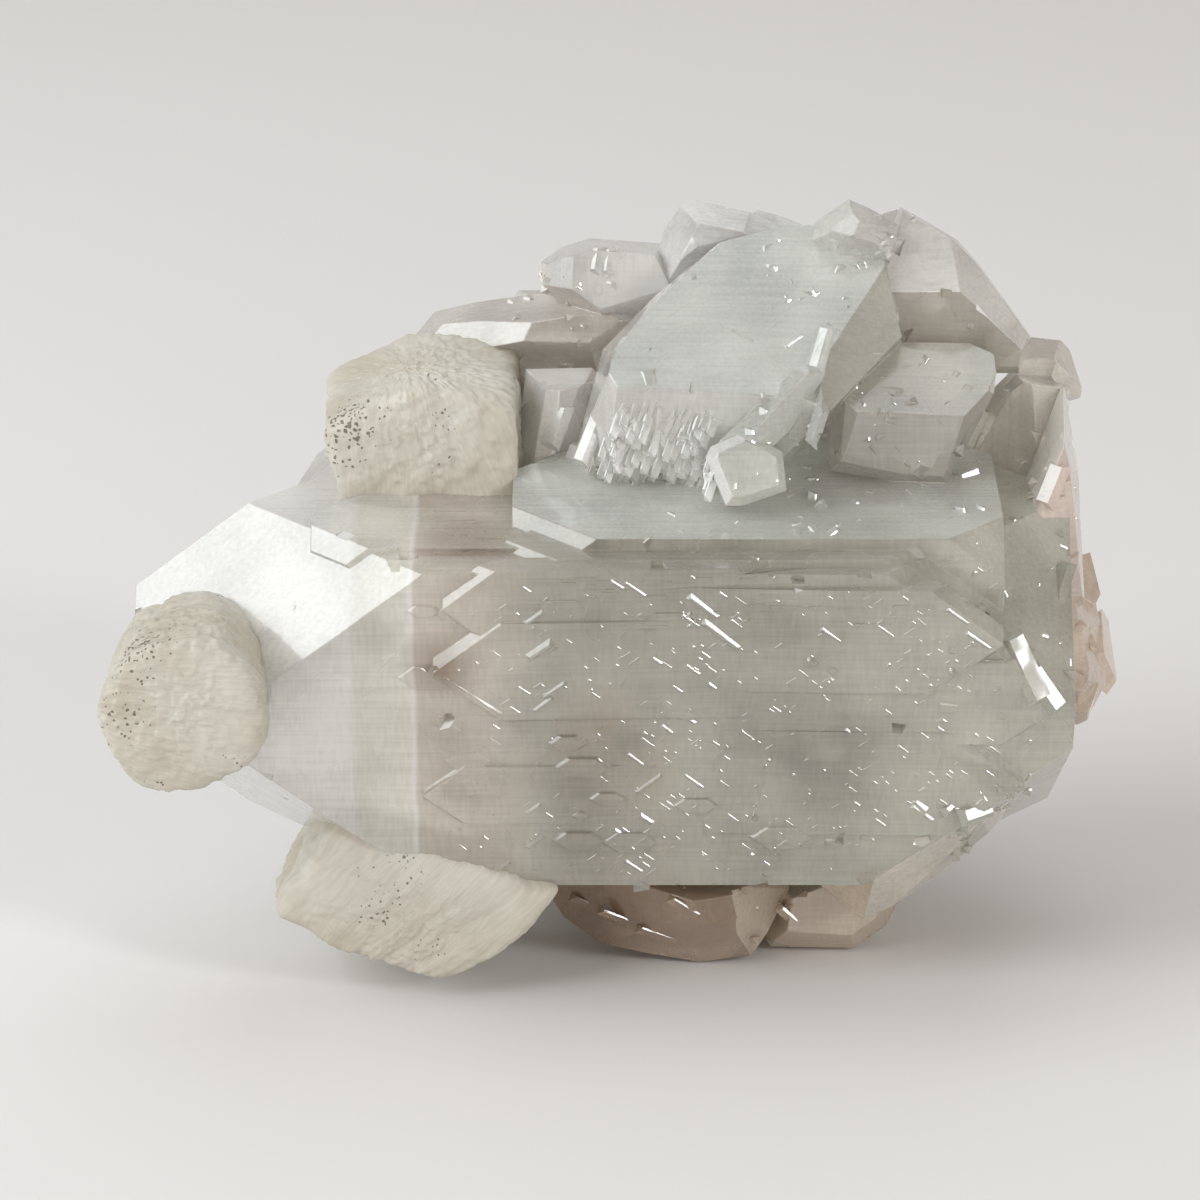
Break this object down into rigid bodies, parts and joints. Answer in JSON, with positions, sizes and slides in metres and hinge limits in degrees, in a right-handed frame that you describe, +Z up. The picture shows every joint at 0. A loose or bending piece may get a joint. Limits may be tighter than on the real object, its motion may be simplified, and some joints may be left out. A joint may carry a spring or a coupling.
{
  "type": "apophyllite specimen",
  "caption": "Cabinet specimen of clear, faintly green apophyllite: a long doubly terminated crystal with smaller crystals grown on and behind it, and cream stilbite sheaves at its left side.",
  "frame": {"origin": "under the middle of the specimen's bounding box, on the surface it stands on", "axes": "+X along the long crystal, from the stilbite's end to the other, -Y towards the side that is shown, +Z up"},
  "size_m": [0.0758, 0.0488, 0.0572],
  "materials": {
    "apophyllite": "clear to cloudy natural crystal with glassy and pearly faces, inner veils and fine growth lines",
    "stilbite": "waxy cream mineral in bundled plates, with small dark specks"
  },
  "bodies": {
    "root": {"apophyllite_cluster": "apophyllite", "stilbite_left": "stilbite", "stilbite_upper": "stilbite", "stilbite_lower": "stilbite"}
  },
  "joints": []
}
